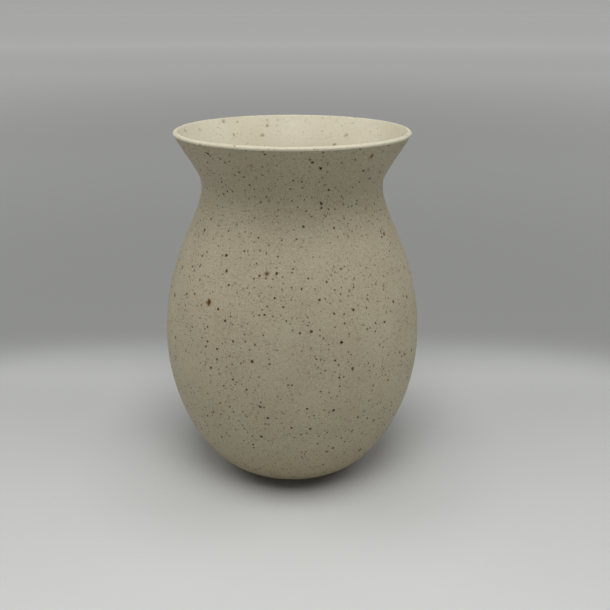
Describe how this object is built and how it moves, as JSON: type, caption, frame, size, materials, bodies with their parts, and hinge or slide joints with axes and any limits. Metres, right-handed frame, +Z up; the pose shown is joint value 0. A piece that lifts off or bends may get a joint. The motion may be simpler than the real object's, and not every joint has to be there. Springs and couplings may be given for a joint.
{
  "type": "vase",
  "caption": "Wheel-thrown stoneware vase with a full belly, a narrow waist and a flared open mouth, for flowers or for display.",
  "frame": {"origin": "on the pot's axis, on the surface that its foot ring stands on", "axes": "+Z up along the pot's axis, towards the mouth; X and Y lie in the surface that it stands on"},
  "size_m": [0.142, 0.142, 0.192],
  "materials": {
    "speckled_clay": "bare fired stoneware with iron specks",
    "liner_glaze": "satin cream glaze with soft brown specks",
    "matt_glaze": "matt cream glaze with dark iron specks"
  },
  "bodies": {
    "root": {"clay_body": "speckled_clay", "inside_glaze": "liner_glaze", "outside_glaze": "matt_glaze"}
  },
  "joints": []
}
